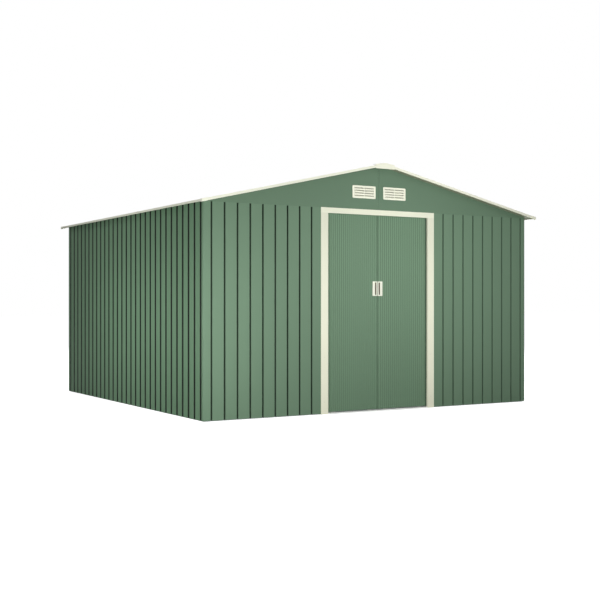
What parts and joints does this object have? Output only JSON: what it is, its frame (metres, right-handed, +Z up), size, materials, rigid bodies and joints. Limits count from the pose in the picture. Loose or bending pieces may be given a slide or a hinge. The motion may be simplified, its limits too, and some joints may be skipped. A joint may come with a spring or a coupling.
{
  "type": "metal storage shed",
  "caption": "Ribbed sheet-metal garden shed with a low gable roof, louvred gable vents and a pair of sliding doors in the front.",
  "frame": {"origin": "on the ground under the middle of the building", "axes": "+Z up, the doors face -Y, +X to the right seen from the front"},
  "size_m": [3.3786, 3.4256, 2.0836],
  "materials": {
    "wall_green": "satin, soft green paint on pressed sheet",
    "door_green": "satin, soft green paint on finely grooved sheet",
    "roof_green": "satin, soft green paint on ribbed sheet",
    "trim_cream": "satin, cream paint",
    "cream_plastic": "satin, moulded",
    "runner_nylon": "smooth",
    "galvanised": "zinc coated, dull",
    "sill_metal": "mill finish"
  },
  "bodies": {
    "shed": {"back_floor_rail": "galvanised", "back_gable_left": "wall_green", "back_gable_right": "wall_green", "back_mid_rail": "galvanised", "back_top_rail": "galvanised", "back_trim_left": "trim_cream", "back_trim_right": "trim_cream", "back_vent_left": "cream_plastic", "back_vent_right": "cream_plastic", "back_wall": "wall_green", "corner_caps": "cream_plastic", "door_header": "trim_cream", "door_jamb_left": "trim_cream", "door_jamb_right": "trim_cream", "door_sill": "sill_metal", "door_track": "galvanised", "eave_trim_left": "trim_cream", "eave_trim_right": "trim_cream", "front_floor_rail": "galvanised", "front_gable_left": "wall_green", "front_gable_right": "wall_green", "front_trim_left": "trim_cream", "front_trim_right": "trim_cream", "front_vent_left": "cream_plastic", "front_vent_right": "cream_plastic", "front_wall_left": "wall_green", "front_wall_right": "wall_green", "gable_posts": "galvanised", "left_floor_rail": "galvanised", "left_mid_rail": "galvanised", "left_top_rail": "galvanised", "left_wall": "wall_green", "ridge_cap": "trim_cream", "ridge_end_caps": "cream_plastic", "right_floor_rail": "galvanised", "right_mid_rail": "galvanised", "right_top_rail": "galvanised", "right_wall": "wall_green", "roof_beams": "galvanised", "roof_left": "roof_green", "roof_right": "roof_green"},
    "door_left": {"door_left_panel": "door_green", "door_left_rails": "galvanised", "door_left_runners": "runner_nylon", "door_left_pull": "cream_plastic"},
    "door_right": {"door_right_panel": "door_green", "door_right_rails": "galvanised", "door_right_runners": "runner_nylon", "door_right_pull": "cream_plastic"}
  },
  "joints": [
    {"name": "door_left_slide", "type": "slide", "parent": "shed", "child": "door_left", "axis": [-1, 0, 0], "range_m": [0, 0.445]},
    {"name": "door_right_slide", "type": "slide", "parent": "shed", "child": "door_right", "axis": [1, 0, 0], "range_m": [0, 0.445]}
  ]
}
